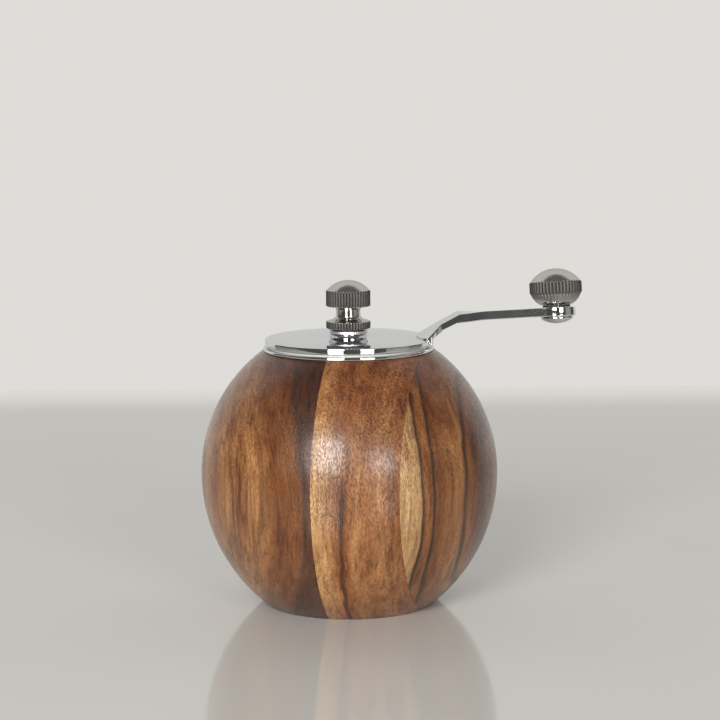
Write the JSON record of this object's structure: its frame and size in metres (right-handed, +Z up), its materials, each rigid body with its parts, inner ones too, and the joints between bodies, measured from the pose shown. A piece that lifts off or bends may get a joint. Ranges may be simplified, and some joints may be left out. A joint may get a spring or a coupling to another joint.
{
  "type": "hand-crank burr mill",
  "caption": "Ball-shaped wooden hand mill with a chromed crank lid, a knurled grind adjuster and a cone burr in the base.",
  "frame": {"origin": "on the mill's axis, in the plane of its flat base", "axes": "+Z up along the drive shaft; +X towards the crank knob at rest"},
  "size_m": [0.1163, 0.09, 0.1011],
  "materials": {
    "wood_brown": "satin oiled acacia, brown streaked",
    "wood_tan": "satin oiled acacia, golden tan",
    "wood_striped": "satin oiled acacia, striped heartwood",
    "chrome": "mirror chrome plate",
    "knob_nickel": "dull nickel over knurling",
    "zinc_steel": "bright zinc",
    "shaft_steel": "drawn steel",
    "spring_steel": "oiled spring steel",
    "white_nylon": "plain",
    "black_nylon": "moulded, fine texture",
    "burr_ceramic": "fired, unglazed",
    "bronze": "turned"
  },
  "bodies": {
    "mill_body": {"wood_board_1": "wood_brown", "wood_board_2": "wood_brown", "wood_board_3": "wood_tan", "wood_board_4": "wood_striped", "mouth_ring": "chrome", "ring_screws": "zinc_steel", "glide_washer": "white_nylon", "burr_housing": "black_nylon", "housing_screws": "zinc_steel", "outer_burr": "burr_ceramic", "burr_clip": "spring_steel", "shaft_bridge": "black_nylon", "bridge_screws": "zinc_steel", "bridge_bush": "bronze"},
    "spring_seat": {"thrust_washer": "zinc_steel", "burr_spring": "spring_steel"},
    "burr_shaft": {"drive_shaft": "shaft_steel", "inner_burr": "burr_ceramic", "burr_washer": "zinc_steel", "shaft_nut": "zinc_steel"},
    "crank_lid": {"crank_plate": "chrome", "crank_arm": "chrome", "arm_rivets": "zinc_steel", "hub_collar": "chrome", "hub_washer": "zinc_steel", "hub_nut": "zinc_steel"},
    "adjuster": {"adjusting_knob": "knob_nickel", "knob_insert": "bronze", "adjuster_washer": "black_nylon"},
    "handle_knob": {"crank_knob": "knob_nickel", "knob_pin": "chrome", "knob_washer": "black_nylon"}
  },
  "joints": [
    {"name": "crank_turn", "type": "hinge", "parent": "mill_body", "child": "spring_seat", "pos_m": [0, 0, 0.027], "axis": [0, 0, 1], "continuous": true},
    {"name": "burr_lift", "type": "slide", "parent": "spring_seat", "child": "burr_shaft", "axis": [0, 0, 1], "range_m": [-0.0016, 0.0004], "deforming": ["burr_spring"]},
    {"name": "lid_lift", "type": "slide", "parent": "spring_seat", "child": "crank_lid", "axis": [0, 0, 1], "range_m": [0, 0.06]},
    {"name": "grind_adjust", "type": "hinge", "parent": "crank_lid", "child": "adjuster", "pos_m": [0, 0, 0.09], "axis": [0, 0, 1], "range_deg": [-180, 720]},
    {"name": "crank_knob_spin", "type": "hinge", "parent": "crank_lid", "child": "handle_knob", "pos_m": [0.0635, 0, 0.0892], "axis": [-0.0381, 0.1219, 0.9918], "continuous": true}
  ],
  "couplings": [
    {"joint": "grind_adjust", "follows": "burr_lift", "rad_per_m": -7854}
  ]
}
